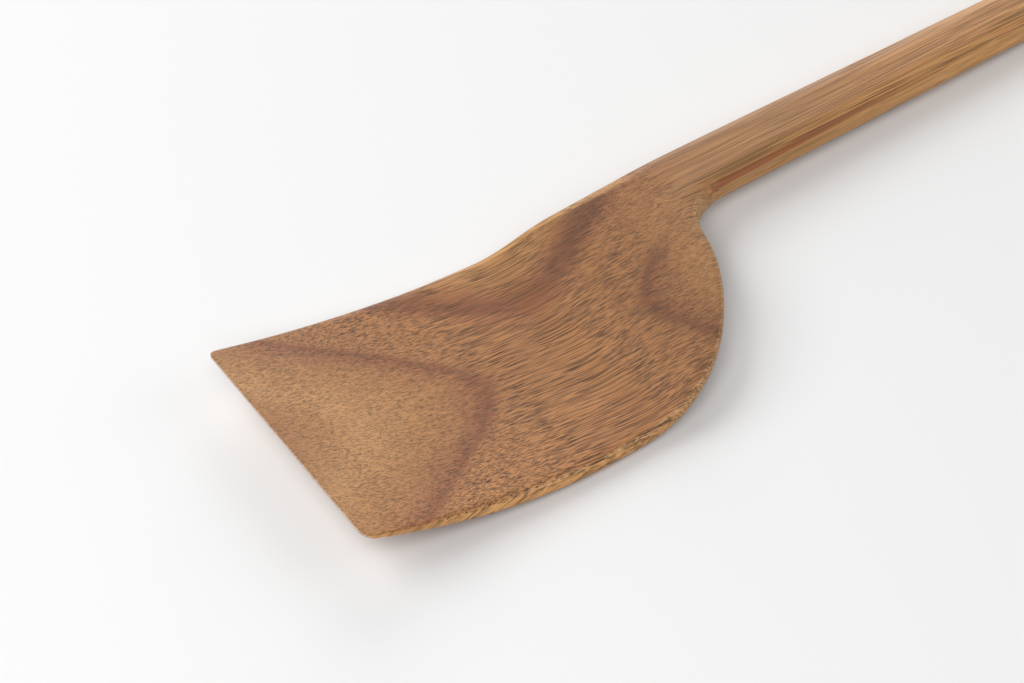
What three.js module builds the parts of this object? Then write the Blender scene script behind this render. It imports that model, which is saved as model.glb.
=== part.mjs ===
// A wooden turner, carved from one board: a dished blade with a straight front edge and a round lobe on one
// side, a cranked neck, and a slim straight handle. It lies on its sole and on the end of its handle.
//
// Millimetres, +Z up, the table at z = 0. The sizes below are measured from the front edge, along the
// handle's axis (x) and across it (y, with the straight edge on the positive side and the lobe opposite).

import * as THREE from 'three';

// Plan: lengths along the handle's axis
const OVERALL_LENGTH = 320;
const BLADE_LENGTH = 135.5; // front edge to heel, where the lobe turns into the notch
const LOBE_SHARE = 0.66; // share of the blade's length at which the lobe is widest
const NECK_LENGTH = 8; // heel to where the straight edge joins the handle
const NOTCH_LENGTH = 19; // heel to where the notch joins the handle

// Plan: widths across the handle's axis
const FRONT_EDGE_WIDTH = 76.5;
const FRONT_EDGE_SHIFT = 19.5; // how far the front edge's middle lies towards the lobe
const LOBE_REACH = 66.3; // axis to the lobe's widest point
const HEEL_REACH = 22.7; // axis to the heel
const HANDLE_NECK_WIDTH = 18.5;
const HANDLE_END_WIDTH = 16.4;
const HANDLE_END_FLAT = 2.5; // straight part left across the handle's end
const TIP_RADIUS_STRAIGHT_SIDE = 2;
const TIP_RADIUS_LOBE_SIDE = 3.5;

// Plan: slopes of the edges
const STRAIGHT_EDGE_SLOPE = 0.045; // how fast the straight edge closes in behind the front corner
const LOBE_EDGE_SLOPE = 0.18; // how fast the other edge opens out behind the front corner
const HEEL_LEAN = 0.2; // how far the heel leans back from square

// Plan: how long each edge curve keeps its end directions, as shares of its run
const STRAIGHT_FRONT_PULL = 0.3;
const STRAIGHT_NECK_PULL = 0.492;
const FLARE_FRONT_PULL = 0.533;
const FLARE_LOBE_PULL = 0.29;
const ROUND_LOBE_PULL = 0.487;
const ROUND_HEEL_PULL = 0.414;
const NOTCH_HEEL_PULL = 0.73;
const NOTCH_HANDLE_PULL = 0.376;

// Side view: heights of the underside above the table
const TIP_LIFT = 13.5;
const SOLE_FROM_FRONT = 66;
const SOLE_LENGTH = 15;
const NECK_LIFT = 4.5;
const NECK_LIFT_BEFORE_HEEL = 29; // the neck's underside is highest this far in front of the heel
const HANDLE_REST_FROM_END = 14;

// Thickness, and how much of it the rounded edges take
const TIP_THICKNESS = 1.5;
const BLADE_THICKNESS = 6.2;
const HANDLE_THICKNESS = 11.2;
const FULL_BLADE_FROM_FRONT = 60; // the blade reaches its full thickness here
const NECK_SWELL_LENGTH = 58; // the blade swells to the handle's thickness over this length
const RIDGE_FADE = 22; // the neck's swelling fades out under the blade over this width
const DISH_DEPTH = 1;
const TOP_ROUND_HEIGHT = 0.26; // this and the next five are shares of the thickness
const TOP_ROUND_WIDTH = 0.36;
const UNDER_ROUND_HEIGHT = 0.36;
const HANDLE_ROUND_GAIN = 0.25; // the handle's edges get rounder towards its end
const UNDER_ROUND_WIDTH = 1;
const UNDER_ROUND_LOSS = 0.4; // the underside's edges are tighter along the handle

// Mesh density
const TIP_CORNER_STEPS = 4;
const FRONT_STEPS = 16;
const LOBE_STEPS = 15;
const NOTCH_STEPS = 8;
const HANDLE_STEPS = 14;
const END_STEPS = 6;
const EDGE_BAND = [0, 0.06, 0.18, 0.4, 0.7, 1]; // shares of the rounded band, from the edge inwards
const FACE_STEPS = 8;
const WIDEST_BAND = 0.4; // share of a rib's width

const WOOD_COLOR = 0xa37a5a;
const WOOD_ROUGHNESS = 0.55;

// Smooth step from 0 at a to 1 at b.
const ease = (x, a, b) => THREE.MathUtils.smoothstep(x, a, b);

const point = (x, y) => new THREE.Vector2(x, y);

// Point that lies a given run along a direction from a start.
const along = (start, dx, dy, run) => point(start.x + dx * run, start.y + dy * run);

// Straight edge and lobe edge as matching lists of spans, from the front edge to the handle's end.
function planEdges() {
  const frontStraight = FRONT_EDGE_WIDTH / 2 - FRONT_EDGE_SHIFT;
  const frontLobe = FRONT_EDGE_WIDTH / 2 + FRONT_EDGE_SHIFT;
  const neckHalf = HANDLE_NECK_WIDTH / 2;
  const endHalf = HANDLE_END_WIDTH / 2;
  const endRadius = (HANDLE_END_WIDTH - HANDLE_END_FLAT) / 2;
  const endStart = OVERALL_LENGTH - endRadius;
  const neckX = BLADE_LENGTH + NECK_LENGTH;

  const straightCorner = point(TIP_RADIUS_STRAIGHT_SIDE, frontStraight);
  const straightNeck = point(neckX, neckHalf);
  const taperRun = neckX - straightCorner.x;
  const taper = new THREE.CubicBezierCurve(
    straightCorner,
    along(straightCorner, 1, -STRAIGHT_EDGE_SLOPE, taperRun * STRAIGHT_FRONT_PULL),
    along(straightNeck, -1, 0, taperRun * STRAIGHT_NECK_PULL),
    straightNeck,
  );
  const straightEnd = point(endStart, endHalf);
  const lobeX = BLADE_LENGTH * LOBE_SHARE;
  const lobeBreak = lobeX / neckX;
  const heelBreak = BLADE_LENGTH / neckX;

  const lobeCorner = point(TIP_RADIUS_LOBE_SIDE, -frontLobe);
  const lobe = point(lobeX, -LOBE_REACH);
  const heel = point(BLADE_LENGTH, -HEEL_REACH);
  const notchEnd = point(BLADE_LENGTH + NOTCH_LENGTH, -neckHalf);
  const frontRun = lobe.x - lobeCorner.x;
  const backRun = heel.x - lobe.x;
  const heelRise = heel.y - lobe.y;
  const notchRise = notchEnd.y - heel.y;
  const flare = new THREE.CubicBezierCurve(
    lobeCorner,
    along(lobeCorner, 1, -LOBE_EDGE_SLOPE, frontRun * FLARE_FRONT_PULL),
    along(lobe, -1, 0, frontRun * FLARE_LOBE_PULL),
    lobe,
  );
  const round = new THREE.CubicBezierCurve(
    lobe,
    along(lobe, 1, 0, backRun * ROUND_LOBE_PULL),
    along(heel, -HEEL_LEAN, -1, heelRise * ROUND_HEEL_PULL),
    heel,
  );
  const notch = new THREE.CubicBezierCurve(
    heel,
    along(heel, HEEL_LEAN, 1, notchRise * NOTCH_HEEL_PULL),
    along(notchEnd, -1, 0, NOTCH_LENGTH * NOTCH_HANDLE_PULL),
    notchEnd,
  );
  const lobeEnd = point(endStart, -endHalf);

  const cornerArc = (corner, radius, side) => (t) => {
    const angle = Math.PI * (1 - t / 2);
    return point(corner.x + radius * Math.cos(angle), corner.y + side * radius * (Math.sin(angle) - 1));
  };
  const endArc = (side) => (t) => {
    const angle = (Math.PI / 2) * (1 - t);
    const inset = endRadius * (1 - Math.sin(angle));
    return point(endStart + endRadius * Math.cos(angle), side * (endHalf - inset));
  };
  const part = (curve, from, to) => (t) => curve.getPoint(THREE.MathUtils.lerp(from, to, t));
  const line = (from, to) => (t) => from.clone().lerp(to, t);

  return [
    {
      steps: TIP_CORNER_STEPS,
      straight: cornerArc(straightCorner, TIP_RADIUS_STRAIGHT_SIDE, 1),
      lobed: cornerArc(lobeCorner, TIP_RADIUS_LOBE_SIDE, -1),
    },
    { steps: FRONT_STEPS, straight: part(taper, 0, lobeBreak), lobed: part(flare, 0, 1) },
    { steps: LOBE_STEPS, straight: part(taper, lobeBreak, heelBreak), lobed: part(round, 0, 1) },
    { steps: NOTCH_STEPS, straight: part(taper, heelBreak, 1), lobed: part(notch, 0, 1) },
    { steps: HANDLE_STEPS, straight: line(straightNeck, straightEnd), lobed: line(notchEnd, lobeEnd) },
    { steps: END_STEPS, straight: endArc(1), lobed: endArc(-1) },
  ];
}

// Ribs across the board: pairs of matching points on the straight edge and the lobe edge.
function planRibs() {
  const spans = planEdges();
  const ribs = [{ a: spans[0].straight(0), b: spans[0].lobed(0) }];
  for (const { steps, straight, lobed } of spans) {
    for (let step = 1; step <= steps; step += 1) {
      ribs.push({ a: straight(step / steps), b: lobed(step / steps) });
    }
  }
  return ribs;
}

// Height of the underside along the handle's axis.
function undersideLine(x) {
  const soleEnd = SOLE_FROM_FRONT + SOLE_LENGTH;
  const crest = BLADE_LENGTH - NECK_LIFT_BEFORE_HEEL;
  const rest = OVERALL_LENGTH - HANDLE_REST_FROM_END;
  if (x < SOLE_FROM_FRONT) return TIP_LIFT * (1 - x / SOLE_FROM_FRONT) ** 2;
  if (x < soleEnd) return 0;
  if (x < crest) {
    // Cubic that leaves the sole level and meets the handle at the handle's own slope.
    const run = crest - soleEnd;
    const slope = -NECK_LIFT / (rest - crest);
    const t = (x - soleEnd) / run;
    return NECK_LIFT * t * t * (3 - 2 * t) + slope * run * t * t * (t - 1);
  }
  return Math.max(0, (NECK_LIFT * (rest - x)) / (rest - crest));
}

// Thickness of the blade alone, thin at the front edge.
function bladeThickness(x) {
  const share = Math.min(1, x / FULL_BLADE_FROM_FRONT);
  return TIP_THICKNESS + (BLADE_THICKNESS - TIP_THICKNESS) * Math.sin((Math.PI / 2) * share);
}

// Share of the handle's extra thickness that the neck has taken on.
function neckSwell(x) {
  const neckX = BLADE_LENGTH + NECK_LENGTH;
  return ease(x, neckX - NECK_SWELL_LENGTH, neckX);
}

// How far a rounded edge stands back from its face, at a distance from the edge.
function roundOver(distance, width, height) {
  const t = 1 - Math.min(1, distance / width);
  return height * (1 - Math.sqrt(1 - t * t));
}

// Heights of the two faces at a plan point. across runs from -1 to 1 along the rib.
function faceHeights(x, y, across, edgeDistance) {
  const extra = (HANDLE_THICKNESS - BLADE_THICKNESS) * neckSwell(x);
  const neckHalf = HANDLE_NECK_WIDTH / 2;
  const ridge = 1 - ease(Math.abs(y), neckHalf, neckHalf + RIDGE_FADE);
  const blade = bladeThickness(x);
  const thickness = blade + extra * ridge;
  const board = undersideLine(x) + blade + extra;

  const dishStart = ease(x, 0, SOLE_FROM_FRONT);
  const dishEnd = 1 - ease(x, SOLE_FROM_FRONT + SOLE_LENGTH, BLADE_LENGTH);
  const dish = DISH_DEPTH * (1 - across * across) * dishStart * dishEnd;

  const handleShare = ease(x, BLADE_LENGTH, OVERALL_LENGTH);
  const tightShare = ease(x, SOLE_FROM_FRONT + SOLE_LENGTH, BLADE_LENGTH + NOTCH_LENGTH);
  const topWidth = thickness * (TOP_ROUND_WIDTH + HANDLE_ROUND_GAIN * handleShare);
  const underWidth = thickness * (UNDER_ROUND_WIDTH - UNDER_ROUND_LOSS * tightShare);
  return {
    top: board - dish - roundOver(edgeDistance, topWidth, thickness * TOP_ROUND_HEIGHT),
    under: board - thickness + roundOver(edgeDistance, underWidth, thickness * UNDER_ROUND_HEIGHT),
    band: underWidth,
  };
}

// Least distance from a plan point to the closed outline.
function distanceToOutline(spot, outline) {
  const here = new THREE.Vector3(spot.x, spot.y, 0);
  const segment = new THREE.Line3();
  const foot = new THREE.Vector3();
  let least = Infinity;
  outline.forEach((start, index) => {
    const end = outline[(index + 1) % outline.length];
    segment.start.set(start.x, start.y, 0);
    segment.end.set(end.x, end.y, 0);
    segment.closestPointToPoint(here, true, foot);
    least = Math.min(least, foot.distanceTo(here));
  });
  return least;
}

// Shares along a rib: close together in the rounded bands at both edges, even between them.
function ribShares(width, band) {
  const edge = Math.min(band, width * WIDEST_BAND) / width;
  const shares = EDGE_BAND.map((share) => share * edge);
  for (let step = 1; step < FACE_STEPS; step += 1) {
    shares.push(edge + ((1 - 2 * edge) * step) / FACE_STEPS);
  }
  return shares.concat(EDGE_BAND.map((share) => 1 - share * edge).reverse());
}

// The board as one closed skin: a top sheet and an under sheet on the same ribs, joined by a wall round them.
function boardGeometry() {
  const ribs = planRibs();
  const outline = ribs.map((rib) => rib.a).concat(ribs.map((rib) => rib.b).reverse());
  const top = [];
  const under = [];
  for (const { a, b } of ribs) {
    const middle = a.clone().lerp(b, 0.5);
    const { band } = faceHeights(middle.x, middle.y, 0, 0);
    for (const share of ribShares(a.distanceTo(b), band)) {
      const spot = a.clone().lerp(b, share);
      const heights = faceHeights(spot.x, spot.y, 2 * share - 1, distanceToOutline(spot, outline));
      top.push(spot.x, spot.y, heights.top);
      under.push(spot.x, spot.y, heights.under);
    }
  }

  const columns = 2 * EDGE_BAND.length + FACE_STEPS - 2;
  const row = columns + 1;
  const lastRib = ribs.length - 1;
  const sheet = ribs.length * row;
  const upper = (rib, column) => rib * row + column;
  const lower = (rib, column) => sheet + rib * row + column;
  const index = [];
  const quad = (p, q, r, s) => index.push(p, q, r, p, r, s);
  for (let rib = 0; rib < lastRib; rib += 1) {
    for (let column = 0; column < columns; column += 1) {
      quad(upper(rib, column), upper(rib, column + 1), upper(rib + 1, column + 1), upper(rib + 1, column));
      quad(lower(rib, column), lower(rib + 1, column), lower(rib + 1, column + 1), lower(rib, column + 1));
    }
    quad(upper(rib, 0), upper(rib + 1, 0), lower(rib + 1, 0), lower(rib, 0));
    quad(upper(rib, columns), lower(rib, columns), lower(rib + 1, columns), upper(rib + 1, columns));
  }
  for (let column = 0; column < columns; column += 1) {
    const next = column + 1;
    quad(upper(0, column), lower(0, column), lower(0, next), upper(0, next));
    quad(upper(lastRib, column), upper(lastRib, next), lower(lastRib, next), lower(lastRib, column));
  }

  const geometry = new THREE.BufferGeometry();
  geometry.setAttribute('position', new THREE.Float32BufferAttribute(top.concat(under), 3));
  geometry.setIndex(index);
  geometry.computeVertexNormals();
  return geometry;
}

const wood = new THREE.MeshStandardMaterial({ color: WOOD_COLOR, roughness: WOOD_ROUGHNESS, metalness: 0 });
const turner = new THREE.Mesh(boardGeometry(), wood);
turner.name = 'turner';

// The part's origin is on the table, under the middle of the part's length and width.
const straightReach = FRONT_EDGE_WIDTH / 2 - FRONT_EDGE_SHIFT;
turner.position.set(-OVERALL_LENGTH / 2, (LOBE_REACH - straightReach) / 2, 0);

const part = new THREE.Group();
part.add(turner);

export default part;
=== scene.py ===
"""A wooden turner, carved from one board of brown hardwood, lying on a pale table in soft light."""

import math
from types import SimpleNamespace

import bmesh
import bpy
from bpy.props import FloatProperty, FloatVectorProperty, IntProperty, PointerProperty
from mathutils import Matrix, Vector


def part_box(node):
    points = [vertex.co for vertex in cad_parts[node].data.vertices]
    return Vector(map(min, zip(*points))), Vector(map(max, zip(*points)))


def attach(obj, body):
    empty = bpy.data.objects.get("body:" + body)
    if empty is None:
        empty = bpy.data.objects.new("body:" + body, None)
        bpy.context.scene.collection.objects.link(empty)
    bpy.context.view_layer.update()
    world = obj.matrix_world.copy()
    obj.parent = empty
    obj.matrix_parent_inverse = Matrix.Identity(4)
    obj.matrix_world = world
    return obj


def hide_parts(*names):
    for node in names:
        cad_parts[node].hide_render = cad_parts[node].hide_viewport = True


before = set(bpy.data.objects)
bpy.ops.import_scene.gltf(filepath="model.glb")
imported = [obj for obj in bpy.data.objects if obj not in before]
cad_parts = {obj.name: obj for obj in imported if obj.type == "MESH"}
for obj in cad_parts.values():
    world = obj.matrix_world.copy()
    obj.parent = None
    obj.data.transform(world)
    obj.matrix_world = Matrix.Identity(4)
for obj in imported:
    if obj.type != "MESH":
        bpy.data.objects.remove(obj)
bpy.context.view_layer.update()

bl_info = {
    "name": "Wooden turner",
    "version": (1, 0, 0),
    "blender": (4, 5, 0),
    "location": "3D View > Sidebar > Turner",
    "description": "Carves the turner's board, gives it its wood and sets it on a table",
    "category": "Object",
}

MM = 0.001

# Softboxes: name, degrees from the straight side towards the handle's end, degrees above the table
LAMPS = (("left_lamp", -45, 42), ("near_lamp", -135, 52), ("right_lamp", 120, 30), ("far_lamp", 35, 18))

# Table: half its side, and how far it lies below the turner
TABLE_REACH = 3.0
TABLE_GAP = 0.2 * MM

SENSOR_WIDTH = 36.0

# Carved mesh: how near corners are merged, and up to which bend and skew triangles are paired
MERGE_DISTANCE = 0.002 * MM
PAIR_BEND = math.radians(50)
PAIR_SKEW = math.radians(70)

# Bumps to a millimetre of each texture in the wood: along the turner or its grain, across it and into it
DRIFT_BUMPS = (0.011, 0.03, 0.03)
WARP_BUMPS = (0.04, 0.04, 0.04)
BLOTCH_BUMPS = (0.03, 0.05, 0.05)
SPECKLE_BUMPS = (0.9, 0.9, 1.6)
FIBER_BUMPS = (0.009, 0.75, 0.35)
HAIR_BUMPS = (0.04, 2.7, 0.9)
STREAK_BUMPS = (0.004, 0.2, 0.2)

# How the grain dips through the board: start and end in millimetres from the front edge, softness, slope
GRAIN_DIPS = ((-100, 55, 30, -0.6), (78, 100, 12, -0.16), (110, 138, 8, 0.4))

# Drift of the grain in millimetres: across, into the wood, and the shift between the two noises
WANDER_WIDTH = 3.0
SWAY_DEPTH = 2.0
SWAY_SHIFT = 300.0

# How much the handle's fibres are drawn out, and the noise over which a hair goes from dark to light
HANDLE_STRETCH = 0.6
HAIR_RANGE = (0.36, 0.58)

# Saddle of the growth figure: its lean to the axis, its slopes, and its roundings in square millimetres
FIGURE_LEAN = 0.17
SLOPE_AHEAD = 0.68
SLOPE_BEHIND = 0.81
SLOPE_TO_STRAIGHT_SIDE = 1.105
SLOPE_TO_LOBE = 0.8
STEEPER_AHEAD_OF_LOBE = 0.15
ROUNDING_ALONG = 64.0
ROUNDING_ASIDE = 150.0
RIDGE_LIFT = 5.9
LOWEST_AT_LOBE = -7.0
LOWEST_AT_STRAIGHT_SIDE = -47.0

# How far a layer's height is shifted by slow waves, fibres and hairs
WARP_HEIGHT = 4.0
FIBER_HEIGHT = 5.0
HAIR_HEIGHT = 1.5

# Tone of each growth layer, by the layer's height on the saddle
LAYER_SPAN = 120.0
LAYER_TONES = (
    (-60, "honey"), (-26, "honey"), (-19, "russet"), (-15.5, "dark"), (-12.5, "dark"), (-10, "russet"),
    (-6, "brown"), (11, "brown"), (12.4, "russet"), (13.2, "dark"), (14.3, "dark"), (15.8, "russet"),
    (20, "brown"), (28, "honey"), (38, "pale"), (45, "honey"), (51, "brown"), (60, "honey"),
)

# Tones of the handle's streaks, by their noise
STREAK_TONES = ((0.25, "brown"), (0.5, "honey"), (0.72, "golden"))

# Heights of the dark band: where it starts, is full, starts to fade and is gone
DARK_BAND = (-22.0, -17.0, -13.0, -8.0)

# Stretches in millimetres from the front edge: where a feature starts, is full, starts to fade and is gone
TORN_STRETCH = (20.0, 70.0, 136.0, 148.0)
# Where the painted highlight along the straight side's corner goes
CORNER_HIGHLIGHT_STRETCH = (60.0, 95.0, 124.0, 136.0)
RED_STRETCH = (128.0, 140.0, 170.0, 260.0)

# Red streak in the handle's side, in millimetres: its middle from the axis and the table, and where it fades
RED_FROM_AXIS = 9.2
RED_HEIGHT = 12.0
RED_FADE = (0.4, 2.4)

# How the surface faces, as parts of its normal, where it turns into a wall or a corner
WALL_UP = (0.3, 0.97)
LOBE_CORNER_UP = (0.35, 0.7, 0.88, 0.98)
LOBE_CORNER_OUT = (0.0, 0.25)
STRAIGHT_CORNER_UP = (0.2, 0.5)
STRAIGHT_CORNER_OUT = (0.02, 0.14)
FRONT_OUT = (0.3, 0.6)

# How much of an edge's or a pore's tone covers the board's where it is full
# The walls' golden share is partly the rim's own paler wood and partly painted light on the sides
WALL_SHARE = 0.7
# Share of the painted highlight along the straight side's corner
CORNER_HIGHLIGHT_SHARE = 0.85
RED_SHARE = 0.9
TORN_SHARE = 0.6
# Share of the front edge's painted highlight
FRONT_HIGHLIGHT_SHARE = 0.8
PORE_SHARE = 0.5

# Pores: size of each set and the shift that keeps it apart, flatness, radius in a cell, chance to be open
PORE_SETS = ((1.0, 0.0), (1.5, 37.3), (0.8, 71.9))
PORE_FLATNESS = 0.36
PORE_RADIUS = (0.2, 0.32)
PORE_CHANCE = (0.1, 0.7)

# Relief of the wood: its depth, its strength, and the shares of fibres, hairs and pores in it
RELIEF_DEPTH = 0.2 * MM
RELIEF_STRENGTH = 0.35
FIBER_RELIEF = 0.35
HAIR_RELIEF = 0.2
PORE_RELIEF = 0.8


def screen_tone(red, green, blue):
    """Scene colour of a tone given as screen values from 0 to 255."""
    def linear(value):
        share = value / 255
        return share / 12.92 if share <= 0.04045 else ((share + 0.055) / 1.055) ** 2.4

    return linear(red), linear(green), linear(blue), 1.0


class Wire:
    """A socket in a node tree. Arithmetic on it adds Math nodes to the tree."""

    def __init__(self, tree, socket):
        self.tree = tree
        self.socket = socket

    @classmethod
    def add(cls, tree, kind, settings=None, inputs=None, output=0):
        """Adds a node: its settings first, then the values or wires of its sockets."""
        node = tree.nodes.new(kind)
        for name, value in (settings or {}).items():
            if name == "stops":
                cls.set_stops(node.color_ramp.elements, value)
            else:
                setattr(node, name, value)
        for key, value in (inputs or {}).items():
            if isinstance(value, Wire):
                tree.links.new(value.socket, node.inputs[key])
            else:
                node.inputs[key].default_value = value
        return cls(tree, node.outputs[output] if len(node.outputs) else None)

    @staticmethod
    def set_stops(elements, stops):
        while len(elements) > 1:
            elements.remove(elements[-1])
        elements[0].position, elements[0].color = stops[0]
        for position, color in stops[1:]:
            elements.new(position).color = color

    def output(self, name):
        """Another output of the same node."""
        return Wire(self.tree, self.socket.node.outputs[name])

    def maths(self, operation, *values):
        wires = dict(enumerate((self, *values)))
        return Wire.add(self.tree, "ShaderNodeMath", {"operation": operation}, wires)

    def __add__(self, other):
        return self.maths("ADD", other)

    __radd__ = __add__

    def __mul__(self, other):
        return self.maths("MULTIPLY", other)

    def __sub__(self, other):
        return self.maths("SUBTRACT", other)

    def __rsub__(self, other):
        return Wire.add(self.tree, "ShaderNodeMath", {"operation": "SUBTRACT"}, {0: other, 1: self})

    def __truediv__(self, other):
        return self.maths("DIVIDE", other)

    def __rtruediv__(self, other):
        return Wire.add(self.tree, "ShaderNodeMath", {"operation": "DIVIDE"}, {0: other, 1: self})

    def root(self):
        return self.maths("SQRT")

    def smooth(self, low, high):
        """Rises smoothly from 0 at low to 1 at high."""
        return Wire.add(
            self.tree, "ShaderNodeMapRange", {"interpolation_type": "SMOOTHSTEP"},
            {"Value": self, "From Min": low, "From Max": high},
        )

    def fade(self, low, high):
        """Falls smoothly from 1 at low to 0 at high."""
        return 1.0 - self.smooth(low, high)

    def between(self, start, full, fading, gone):
        """Rises smoothly from 0 at start to 1 at full, and falls back from fading to gone."""
        return self.smooth(start, full) * self.fade(fading, gone)

    def blend(self, first, second):
        """Colour that goes from the first to the second as this wire goes from 0 to 1."""
        return Wire.add(
            self.tree, "ShaderNodeMix", {"data_type": "RGBA"}, {0: self, 6: first, 7: second}, 2
        )

    def shade(self, amount):
        """This colour or vector, times a factor."""
        return Wire.add(
            self.tree, "ShaderNodeVectorMath", {"operation": "SCALE"}, {"Vector": self, "Scale": amount}
        )

    def beside(self, second, third):
        """Vector of this wire and two more."""
        return Wire.add(self.tree, "ShaderNodeCombineXYZ", None, {"X": self, "Y": second, "Z": third})

    def noise(self, detail, roughness=0.5):
        """Noise at this vector, about one bump to a unit."""
        return Wire.add(
            self.tree, "ShaderNodeTexNoise", {"noise_dimensions": "3D"},
            {"Vector": self, "Scale": 1.0, "Detail": detail, "Roughness": roughness},
        )

    def cells(self):
        """Distance from this vector to the nearest of scattered points, about one to a unit cube."""
        return Wire.add(
            self.tree, "ShaderNodeTexVoronoi", {"voronoi_dimensions": "3D", "feature": "F1"},
            {"Vector": self, "Scale": 1.0},
        )


def length(name, description, default, **limits):
    """A property in metres, from a default in millimetres."""
    return FloatProperty(
        name=name, description=description, default=default * MM, unit="LENGTH", precision=5, **limits
    )


def share(name, description, default):
    return FloatProperty(name=name, description=description, default=default, subtype="FACTOR", min=0, max=1)


def color(name, description, default):
    return FloatVectorProperty(
        name=name, description=description, default=screen_tone(*default),
        subtype="COLOR", size=4, min=0, max=1,
    )


def power(name, description, default):
    return FloatProperty(name=name, description=description, default=default, min=0, unit="POWER")


class TURNER_PG_board(bpy.types.PropertyGroup):
    smoothing: IntProperty(
        name="Smoothing", description="How often the carved faces are subdivided", default=2, min=0, max=3
    )
    sanding_depth: length("Sanding depth", "How far hand sanding leaves the faces uneven", 0.16, min=0)
    sanding_width: length("Sanding width", "Width of one uneven patch", 24, min=0.001)


class TURNER_PG_wood(bpy.types.PropertyGroup):
    pale: color("Pale wood", "Lightest growth layer", (186, 137, 87))
    honey: color("Honey wood", "Light brown layer", (173, 124, 76))
    brown: color("Brown wood", "Middle brown layer", (161, 111, 68))
    russet: color("Russet wood", "Reddish layer beside a dark band", (147, 96, 60))
    dark: color("Dark band", "Darkest growth layer", (132, 83, 51))
    red: color("Red streak", "Streak along the handle's side", (152, 86, 48))
    # Also the tone of the painted highlight along the straight side's corner and of the painted light on the
    # walls; in the handle's streaks it is plain wood
    golden: color("Golden edge", "Wood of the rounded edges", (196, 146, 88))
    # Painted highlight: a pale greyish line along the front edge that stands in for a glancing highlight
    front_highlight: color("Front highlight", "Thin greyish line along the front edge", (206, 178, 160))
    torn: color("Torn corner", "Pale fibres along the corner of the lobe and the notch", (222, 184, 140))
    pore: color("Pore", "Open pores", (70, 42, 25))
    axis_inset: length("Axis inset", "From the straight side's widest point to the handle's axis", 18.75)
    saddle_from_front: length("Saddle from front", "Front edge to the middle of the growth figure", 85)
    saddle_from_axis: length("Saddle from axis", "Handle's axis to the middle of the growth figure", 31)
    handle_from_front: length("Handle from front", "Where the straight grain of the handle takes over", 128)
    handle_run: length("Handle run", "Length over which it takes over", 42)
    grain_lean: FloatProperty(
        name="Grain lean", description="Slope of the blade's grain to the axis", default=0.12
    )
    pore_length: length("Pore length", "Length of the cell that holds one pore", 17)
    pore_width: length("Pore width", "Width of the cell that holds one pore", 0.4)
    roughness: share("Roughness", "Roughness of the sanded wood", 0.52)


class TURNER_PG_stage(bpy.types.PropertyGroup):
    table: color("Table", "Colour of the table", (243, 243, 243))
    fill: FloatProperty(name="Fill", description="Strength of the light from all round", default=0.08, min=0)
    left_lamp: power("Left lamp", "Power of the lamp at the straight side of the tip", 14.1)
    near_lamp: power("Near lamp", "Power of the lamp by the camera", 12.8)
    right_lamp: power("Right lamp", "Power of the low lamp at the lobe's side of the handle", 3.5)
    far_lamp: power("Far lamp", "Power of the lowest lamp, opposite the camera", 11.3)
    lamp_size: length("Lamp size", "Side of each square lamp", 1100)
    lamp_distance: length("Lamp distance", "From the turner to each lamp", 1500)
    camera_azimuth: FloatProperty(
        name="Camera direction", description="Turn of the view from the turner's width",
        default=math.radians(35.517), subtype="ANGLE",
    )
    camera_elevation: FloatProperty(
        name="Camera elevation", description="Slope of the view down to the table",
        default=math.radians(48.459), subtype="ANGLE",
    )
    camera_distance: length("Camera distance", "From the camera to the point it looks at", 700)
    camera_target: FloatVectorProperty(
        name="Camera target", description="Point that the camera looks at",
        default=(-0.08844, 0.00353, 0.008), subtype="TRANSLATION", unit="LENGTH", size=3, precision=5,
    )
    lens: FloatProperty(
        name="Lens", description="Focal length on a 36 mm sensor", default=91.17, unit="CAMERA"
    )


def scaled(first, second, third, bumps):
    """Vector for a texture, from three places in millimetres and its bumps to a millimetre."""
    return (first * bumps[0]).beside(second * bumps[1], third * bumps[2])


def place_in_wood(tree, wood):
    """Millimetres from the front edge along the handle's axis, across it and up, and the surface normal."""
    box_low, box_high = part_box("turner")
    start = (box_low.x, box_high.y - wood.axis_inset, box_low.z)
    here = Wire.add(tree, "ShaderNodeTexCoord").output("Object")
    from_start = Wire.add(tree, "ShaderNodeVectorMath", {"operation": "SUBTRACT"}, {0: here, 1: start})
    place = Wire.add(tree, "ShaderNodeSeparateXYZ", None, {0: from_start.shade(1 / MM)})
    surface = Wire.add(tree, "ShaderNodeNewGeometry").output("Normal")
    normal = Wire.add(tree, "ShaderNodeSeparateXYZ", None, {0: surface})
    return SimpleNamespace(
        x=place.output("X"), y=place.output("Y"), z=place.output("Z"),
        faces_back=normal.output("X"), faces_straight_side=normal.output("Y"), faces_up=normal.output("Z"),
    )


def grain_at(place, wood):
    """Place in the grain, which leans across the blade, runs along the handle and drifts, and its fibres."""
    x, y, z = place.x, place.y, place.z
    handle_start = wood.handle_from_front / MM
    handle_run = wood.handle_run / MM
    wander = scaled(x, y, z, DRIFT_BUMPS).noise(2) - 0.5
    sway = scaled(x, y, z + SWAY_SHIFT, DRIFT_BUMPS).noise(2) - 0.5
    lean_run = x.maths("SMOOTH_MIN", handle_start, handle_run)
    across = y + lean_run * wood.grain_lean + wander * WANDER_WIDTH
    depth = z + sway * SWAY_DEPTH
    for start, end, softness, slope in GRAIN_DIPS:
        held = x.maths("SMOOTH_MAX", start, softness).maths("SMOOTH_MIN", end, softness)
        depth = depth + held * slope
    in_handle = x.smooth(handle_start, handle_start + handle_run)
    run = x - (x - handle_start) * in_handle * HANDLE_STRETCH
    fiber = scaled(run, across, depth, FIBER_BUMPS).noise(2, 0.65)
    hair = scaled(run, across, depth, HAIR_BUMPS).noise(2, 0.75).smooth(*HAIR_RANGE)
    return SimpleNamespace(
        run=run, across=across, depth=depth, in_handle=in_handle, fiber=fiber, hair=hair,
    )


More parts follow.
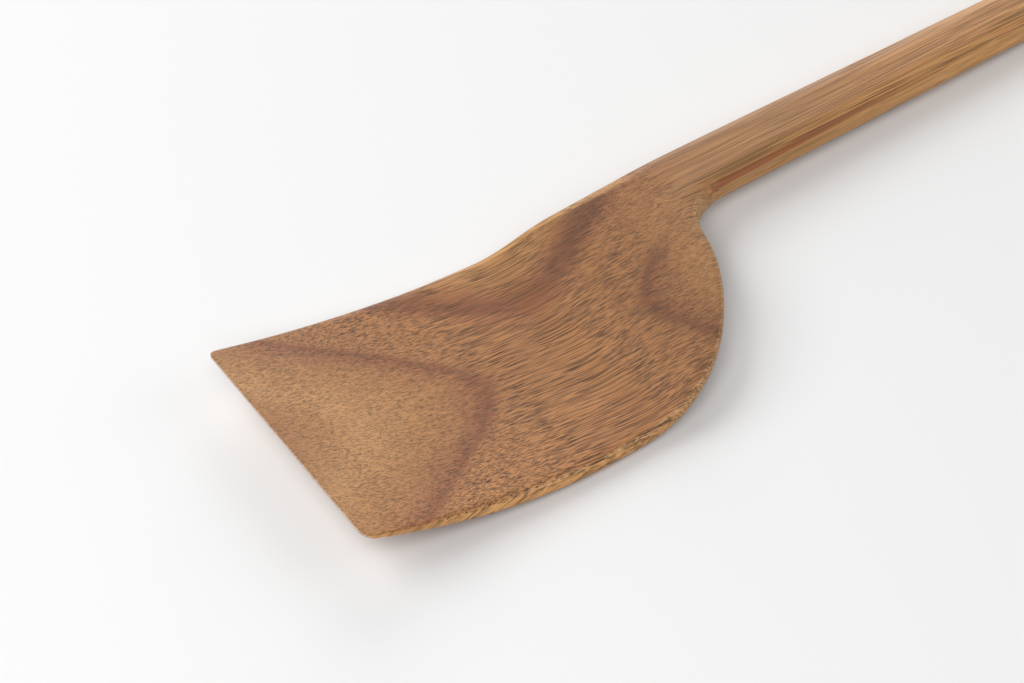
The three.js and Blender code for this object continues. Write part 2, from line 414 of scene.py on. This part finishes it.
def growth_layers(place, grain, wood):
    """Growth layers of the blade: heights on a saddle that rises to the front and to the neck."""
    along = place.x - wood.saddle_from_front / MM
    aside = place.y + wood.saddle_from_axis / MM + along * FIGURE_LEAN
    behind = along.smooth(-12.0, 12.0)
    straight_side = aside.smooth(-14.0, 14.0)
    slope_along = behind * (SLOPE_BEHIND - SLOPE_AHEAD) + SLOPE_AHEAD
    rise = slope_along * (along * along + ROUNDING_ALONG).root()
    steeper = (1.0 - behind) * (1.0 - straight_side) * STEEPER_AHEAD_OF_LOBE
    slope_aside = straight_side * (SLOPE_TO_STRAIGHT_SIDE - SLOPE_TO_LOBE) + steeper + SLOPE_TO_LOBE
    steep_aside = aside * slope_aside
    fall = (steep_aside * steep_aside + ROUNDING_ASIDE).root() - RIDGE_LIFT

    # On the lobe's side the layers stop above the dark band
    lowest = aside.smooth(-6.0, 6.0) * (LOWEST_AT_STRAIGHT_SIDE - LOWEST_AT_LOBE) + LOWEST_AT_LOBE
    warp = scaled(place.x, place.y, place.z, WARP_BUMPS).noise(2) - 0.5
    uneven = warp * WARP_HEIGHT + (grain.fiber - 0.5) * FIBER_HEIGHT + (grain.hair - 0.5) * HAIR_HEIGHT
    layer = (rise - fall).maths("SMOOTH_MAX", lowest, 3.0) + uneven
    return SimpleNamespace(layer=layer, along=along, behind=behind, dark_band=layer.between(*DARK_BAND))


def board_tone(tree, place, grain, growth, wood):
    """Colour of the figure in the blade and of the straight streaks in the handle."""
    layer_stops = [(height / LAYER_SPAN + 0.5, getattr(wood, tone)) for height, tone in LAYER_TONES]
    layer_share = growth.layer / LAYER_SPAN + 0.5
    figure = Wire.add(tree, "ShaderNodeValToRGB", {"stops": layer_stops}, {"Fac": layer_share})
    streak = scaled(place.x, grain.across, grain.depth, STREAK_BUMPS).noise(3, 0.6)
    streak_stops = [(value, getattr(wood, tone)) for value, tone in STREAK_TONES]
    streaks = Wire.add(tree, "ShaderNodeValToRGB", {"stops": streak_stops}, {"Fac": streak})
    fading = place.x.smooth(116.0, 132.0) * growth.layer.smooth(2.0, 9.0) * 0.8
    return grain.in_handle.blend(fading.blend(figure, wood.honey), streaks)


def edges_at(place, grain):
    """Shares of a point that belong to the walls, the corners, the painted highlights on the straight corner
    and the front edge, the red streak and the handle's lined top.
    """
    x, up = place.x, place.faces_up
    wall = 1.0 - up.maths("ABSOLUTE").smooth(*WALL_UP)
    speckle = scaled(x, place.y, place.z, SPECKLE_BUMPS).noise(2, 0.6)
    faces_lobe = 0.0 - place.faces_straight_side
    lobe_corner = up.between(*LOBE_CORNER_UP) * faces_lobe.smooth(*LOBE_CORNER_OUT)
    torn = lobe_corner * speckle.smooth(0.35, 0.6) * x.between(*TORN_STRETCH)
    # Straight side's corner: a painted highlight, golden and lighter where the light would catch the
    # rounding
    straight_corner = up.smooth(*STRAIGHT_CORNER_UP) * place.faces_straight_side.smooth(*STRAIGHT_CORNER_OUT)
    corner_highlight = straight_corner * x.between(*CORNER_HIGHLIGHT_STRETCH)
    # Front edge: where its painted highlight goes; lightness() tones it down
    front = (0.0 - place.faces_back).smooth(*FRONT_OUT) * x.fade(4.0, 8.0)
    outward = place.y + RED_FROM_AXIS
    upward = place.z - RED_HEIGHT
    from_streak = (outward * outward + upward * upward).root() + (grain.fiber - 0.5) * 3.0
    reddish = from_streak.fade(*RED_FADE) * x.between(*RED_STRETCH)
    lined = grain.in_handle * place.y.fade(-6.0, 3.0) * (1.0 - wall)
    return SimpleNamespace(
        wall=wall, torn=torn, corner_highlight=corner_highlight, front=front, reddish=reddish, lined=lined,
    )


def edge_tone(tone, edges, wood):
    """The board's colour with golden walls partly painted light, a painted highlight along the straight
    side's corner, the red streak, the torn corner and a painted highlight along the front edge.
    """
    golden = (edges.wall * WALL_SHARE).maths("MAXIMUM", edges.corner_highlight * CORNER_HIGHLIGHT_SHARE).blend(tone, wood.golden)
    streaked = (edges.reddish * RED_SHARE).blend(golden, wood.red)
    speckled = (edges.torn * TORN_SHARE).blend(streaked, wood.torn)
    return (edges.front * FRONT_HIGHLIGHT_SHARE).blend(speckled, wood.front_highlight)


def open_pores(tree, grain, wood):
    """Long thin hollows along the grain, some wider than others: 1 inside a pore, 0 outside."""
    pore = None
    for size, shift in PORE_SETS:
        step = wood.pore_length / MM * size
        width = wood.pore_width / MM * size
        down = grain.depth / width * PORE_FLATNESS + shift
        cell = (grain.run / step + shift).beside(grain.across / width, down).cells()
        chance = Wire.add(tree, "ShaderNodeSeparateXYZ", None, {0: cell.output("Color")})
        hollow = cell.fade(*PORE_RADIUS) * chance.smooth(*PORE_CHANCE)
        pore = hollow if pore is None else pore.maths("MAXIMUM", hollow)
    return pore


def coarseness(place, growth, edges):
    """How strongly hairs and pores show: most on the middle layers of the blade, least on the walls."""
    middle_layers = growth.layer.fade(8.0, 17.0) * (1.0 - growth.dark_band * 0.8)
    inner_more = growth.layer.smooth(-26.0, -18.0) * 0.6 + 0.4
    blade = middle_layers * inner_more * place.x.fade(102.0, 124.0)
    lobe_more = 0.85 - place.y.smooth(-48.0, -22.0) * 0.15
    return blade * lobe_more + edges.lined * 0.3 - edges.wall * 0.5 + 1.0


def lightness(place, grain, growth, edges, contrast):
    """Factor on the wood's colour, from broad parts of the turner, its blotches, fibres and hairs, with
    painted light that lifts the walls and the painted highlights on two edges.
    """
    x, y = place.x, place.y
    from_middle = x.smooth(65.0, 105.0)
    from_neck = x.smooth(114.0, 128.0)
    to_handle_end = x.smooth(180.0, 250.0)
    neck_layers = growth.layer.smooth(6.0, 16.0) * growth.behind * (1.0 - grain.in_handle)
    band_at_neck = growth.dark_band * growth.along.smooth(0.0, 25.0)
    lower_tip = y.fade(-60.0, -40.0) * x.fade(50.0, 85.0)
    level = 0.885
    # The walls' lift is painted light on the sides, the straight corner's lift a painted highlight, and the
    # front edge's drop tones down its painted highlight
    for part, amount in (
        (from_middle, -0.125), (from_neck, 0.07), (grain.in_handle, -0.05), (to_handle_end, 0.2),
        (edges.corner_highlight, 0.12), (edges.wall, 0.2), (edges.front, -0.2),
        (neck_layers, -0.06), (band_at_neck, -0.14), (lower_tip, 0.1),
    ):
        level = level + part * amount
    blotch = scaled(x, y, place.z, BLOTCH_BUMPS).noise(2)
    fibers = (grain.fiber - 0.5) * (edges.lined * 0.5 + 0.5)
    hairs = (grain.hair - 0.6) * 0.55 * contrast
    return (fibers + hairs + (blotch - 0.5) * 0.16 + 1.0) * level


def wood_material(wood):
    """Brown hardwood: a figure of growth layers in the blade, straight streaks in the handle, open pores."""
    material = bpy.data.materials.new("oiled_hardwood")
    material.use_nodes = True
    tree = material.node_tree
    tree.nodes.clear()
    place = place_in_wood(tree, wood)
    grain = grain_at(place, wood)
    growth = growth_layers(place, grain, wood)
    edges = edges_at(place, grain)
    pore = open_pores(tree, grain, wood)
    contrast = coarseness(place, growth, edges)
    tone = edge_tone(board_tone(tree, place, grain, growth, wood), edges, wood)
    lit_tone = tone.shade(lightness(place, grain, growth, edges, contrast))
    base = (pore * contrast * PORE_SHARE).blend(lit_tone, wood.pore)

    relief = grain.fiber * FIBER_RELIEF + grain.hair * HAIR_RELIEF - pore * PORE_RELIEF
    bump = Wire.add(
        tree, "ShaderNodeBump", None,
        {"Strength": RELIEF_STRENGTH, "Distance": RELIEF_DEPTH, "Height": relief},
    )
    gloss = (pore - grain.fiber * 0.3) * 0.2 + wood.roughness
    surface = Wire.add(
        tree, "ShaderNodeBsdfPrincipled", None,
        {"Base Color": base, "Roughness": gloss, "Normal": bump, "Specular IOR Level": 0.35},
    )
    Wire.add(tree, "ShaderNodeOutputMaterial", None, {"Surface": surface})
    return material


def finishing_tree():
    """Geometry nodes that smooth a carved board, leave it slightly uneven and give it its wood."""
    tree = bpy.data.node_groups.new("board_finishing", "GeometryNodeTree")
    for name, kind in (
        ("Board", "NodeSocketGeometry"), ("Smoothing", "NodeSocketInt"),
        ("Sanding depth", "NodeSocketFloat"), ("Sanding width", "NodeSocketFloat"),
        ("Wood", "NodeSocketMaterial"),
    ):
        tree.interface.new_socket(name, in_out="INPUT", socket_type=kind)
    tree.interface.new_socket("Board", in_out="OUTPUT", socket_type="NodeSocketGeometry")

    def add(kind, settings=None, inputs=None):
        return Wire.add(tree, kind, settings, inputs)

    given = add("NodeGroupInput")
    smoothed = add(
        "GeometryNodeSubdivisionSurface", None,
        {"Mesh": given.output("Board"), "Level": given.output("Smoothing")},
    )
    position = add("GeometryNodeInputPosition")
    patches = 1.0 / given.output("Sanding width")
    patch = add(
        "ShaderNodeTexNoise", {"noise_dimensions": "3D"},
        {"Vector": position, "Scale": patches, "Detail": 1.0},
    )
    uneven = (patch - 0.5) * given.output("Sanding depth")
    offset = add("GeometryNodeInputNormal").shade(uneven)
    sanded = add("GeometryNodeSetPosition", None, {"Geometry": smoothed, "Offset": offset})
    shaded = add("GeometryNodeSetShadeSmooth", None, {"Geometry": sanded, "Shade Smooth": True})
    whole = add("GeometryNodeRealizeInstances", None, {"Geometry": shaded})
    oiled = add("GeometryNodeSetMaterial", None, {"Geometry": whole, "Material": given.output("Wood")})
    add("NodeGroupOutput", None, {"Board": oiled})
    return tree


def carved_mesh():
    """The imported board's mesh with its corners merged and its triangles paired."""
    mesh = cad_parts["turner"].data.copy()
    mesh.materials.clear()
    shell = bmesh.new()
    shell.from_mesh(mesh)
    bmesh.ops.remove_doubles(shell, verts=shell.verts, dist=MERGE_DISTANCE)
    bmesh.ops.join_triangles(
        shell, faces=shell.faces, angle_face_threshold=PAIR_BEND, angle_shape_threshold=PAIR_SKEW
    )
    shell.to_mesh(mesh)
    shell.free()
    return mesh


class TURNER_OT_carve_board(bpy.types.Operator):
    """Make the turner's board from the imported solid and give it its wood"""

    bl_idname = "turner.carve_board"
    bl_label = "Carve Board"

    def execute(self, context):
        board = context.scene.turner_board
        rough = bpy.data.objects.new("rough_board", carved_mesh())
        context.scene.collection.objects.link(rough)
        tree = finishing_tree()
        values = {
            "Smoothing": board.smoothing,
            "Sanding depth": board.sanding_depth,
            "Sanding width": board.sanding_width,
            "Wood": wood_material(context.scene.turner_wood),
        }
        finishing = rough.modifiers.new("Finishing", "NODES")
        finishing.node_group = tree
        for item in tree.interface.items_tree:
            if item.in_out == "INPUT" and item.name in values:
                finishing[item.identifier] = values[item.name]
        graph = context.evaluated_depsgraph_get()
        mesh = bpy.data.meshes.new_from_object(rough.evaluated_get(graph), depsgraph=graph)
        mesh.name = "turner_body"
        bpy.data.objects.remove(rough)
        body = bpy.data.objects.new("turner_body", mesh)
        context.scene.collection.objects.link(body)
        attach(body, "root")
        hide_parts("turner")
        return {"FINISHED"}


def table_material(stage):
    material = bpy.data.materials.new("matt_white_table")
    material.use_nodes = True
    tree = material.node_tree
    tree.nodes.clear()
    surface = Wire.add(
        tree, "ShaderNodeBsdfPrincipled", None,
        {"Base Color": stage.table, "Roughness": 0.9, "Specular IOR Level": 0.1},
    )
    Wire.add(tree, "ShaderNodeOutputMaterial", None, {"Surface": surface})
    return material


def studio_world(stage):
    """Even light from all round, seen as white."""
    world = bpy.data.worlds.new("studio")
    world.use_nodes = True
    tree = world.node_tree
    tree.nodes.clear()
    path = Wire.add(tree, "ShaderNodeLightPath")
    seen = path.output("Is Camera Ray").maths("MAXIMUM", path.output("Is Glossy Ray"))
    seen = seen.maths("MAXIMUM", path.output("Is Transmission Ray"))
    fill = Wire.add(tree, "ShaderNodeBackground", None, {"Color": (1, 1, 1, 1), "Strength": stage.fill})
    white = Wire.add(tree, "ShaderNodeBackground", None, {"Color": stage.table, "Strength": 1.0})
    sky = Wire.add(tree, "ShaderNodeMixShader", None, {0: seen, 1: fill, 2: white})
    Wire.add(tree, "ShaderNodeOutputWorld", None, {"Surface": sky})
    return world


def heading(azimuth, elevation):
    """Unit vector at an angle from +Y towards +X, raised from the table."""
    level = math.cos(elevation)
    return Vector((math.sin(azimuth) * level, math.cos(azimuth) * level, math.sin(elevation)))


def aim(thing, place, target):
    thing.location = place
    thing.rotation_euler = (target - place).to_track_quat("-Z", "Y").to_euler()


class TURNER_OT_set_stage(bpy.types.Operator):
    """Set the table, the lamps, the light from all round and the camera"""

    bl_idname = "turner.set_stage"
    bl_label = "Set Stage"

    def execute(self, context):
        scene = context.scene
        stage = scene.turner_stage
        sides = ((-1, -1), (1, -1), (1, 1), (-1, 1))
        corners = [(x * TABLE_REACH, y * TABLE_REACH, -TABLE_GAP) for x, y in sides]
        mesh = bpy.data.meshes.new("table")
        mesh.from_pydata(corners, [], [(0, 1, 2, 3)])
        mesh.materials.append(table_material(stage))
        table = bpy.data.objects.new("table", mesh)
        scene.collection.objects.link(table)

        scene.world = studio_world(stage)
        target = Vector(stage.camera_target)
        for name, azimuth, elevation in LAMPS:
            light = bpy.data.lights.new(name, "AREA")
            light.shape = "SQUARE"
            light.size = stage.lamp_size
            light.energy = getattr(stage, name)
            lamp = bpy.data.objects.new(name, light)
            scene.collection.objects.link(lamp)
            side = heading(math.radians(azimuth), math.radians(elevation))
            aim(lamp, target + side * stage.lamp_distance, target)

        lens = bpy.data.cameras.new("camera")
        lens.sensor_fit = "HORIZONTAL"
        lens.sensor_width = SENSOR_WIDTH
        lens.lens = stage.lens
        camera = bpy.data.objects.new("camera", lens)
        scene.collection.objects.link(camera)
        view = heading(stage.camera_azimuth, -stage.camera_elevation)
        aim(camera, target - view * stage.camera_distance, target)
        scene.camera = camera
        scene.view_settings.view_transform = "Standard"
        return {"FINISHED"}


class TURNER_PT_sidebar(bpy.types.Panel):
    bl_idname = "TURNER_PT_sidebar"
    bl_label = "Wooden Turner"
    bl_space_type = "VIEW_3D"
    bl_region_type = "UI"
    bl_category = "Turner"

    def draw(self, context):
        for settings, operator in (
            ((context.scene.turner_board, context.scene.turner_wood), "turner.carve_board"),
            ((context.scene.turner_stage,), "turner.set_stage"),
        ):
            box = self.layout.box()
            for group in settings:
                for name in group.__annotations__:
                    box.prop(group, name)
            box.operator(operator)


CLASSES = (
    TURNER_PG_board, TURNER_PG_wood, TURNER_PG_stage,
    TURNER_OT_carve_board, TURNER_OT_set_stage, TURNER_PT_sidebar,
)


def register():
    for cls in CLASSES:
        bpy.utils.register_class(cls)
    bpy.types.Scene.turner_board = PointerProperty(type=TURNER_PG_board)
    bpy.types.Scene.turner_wood = PointerProperty(type=TURNER_PG_wood)
    bpy.types.Scene.turner_stage = PointerProperty(type=TURNER_PG_stage)


def unregister():
    del bpy.types.Scene.turner_stage
    del bpy.types.Scene.turner_wood
    del bpy.types.Scene.turner_board
    for cls in reversed(CLASSES):
        bpy.utils.unregister_class(cls)


def main():
    register()
    bpy.ops.turner.carve_board()
    bpy.ops.turner.set_stage()


if __name__ == "__main__":
    main()
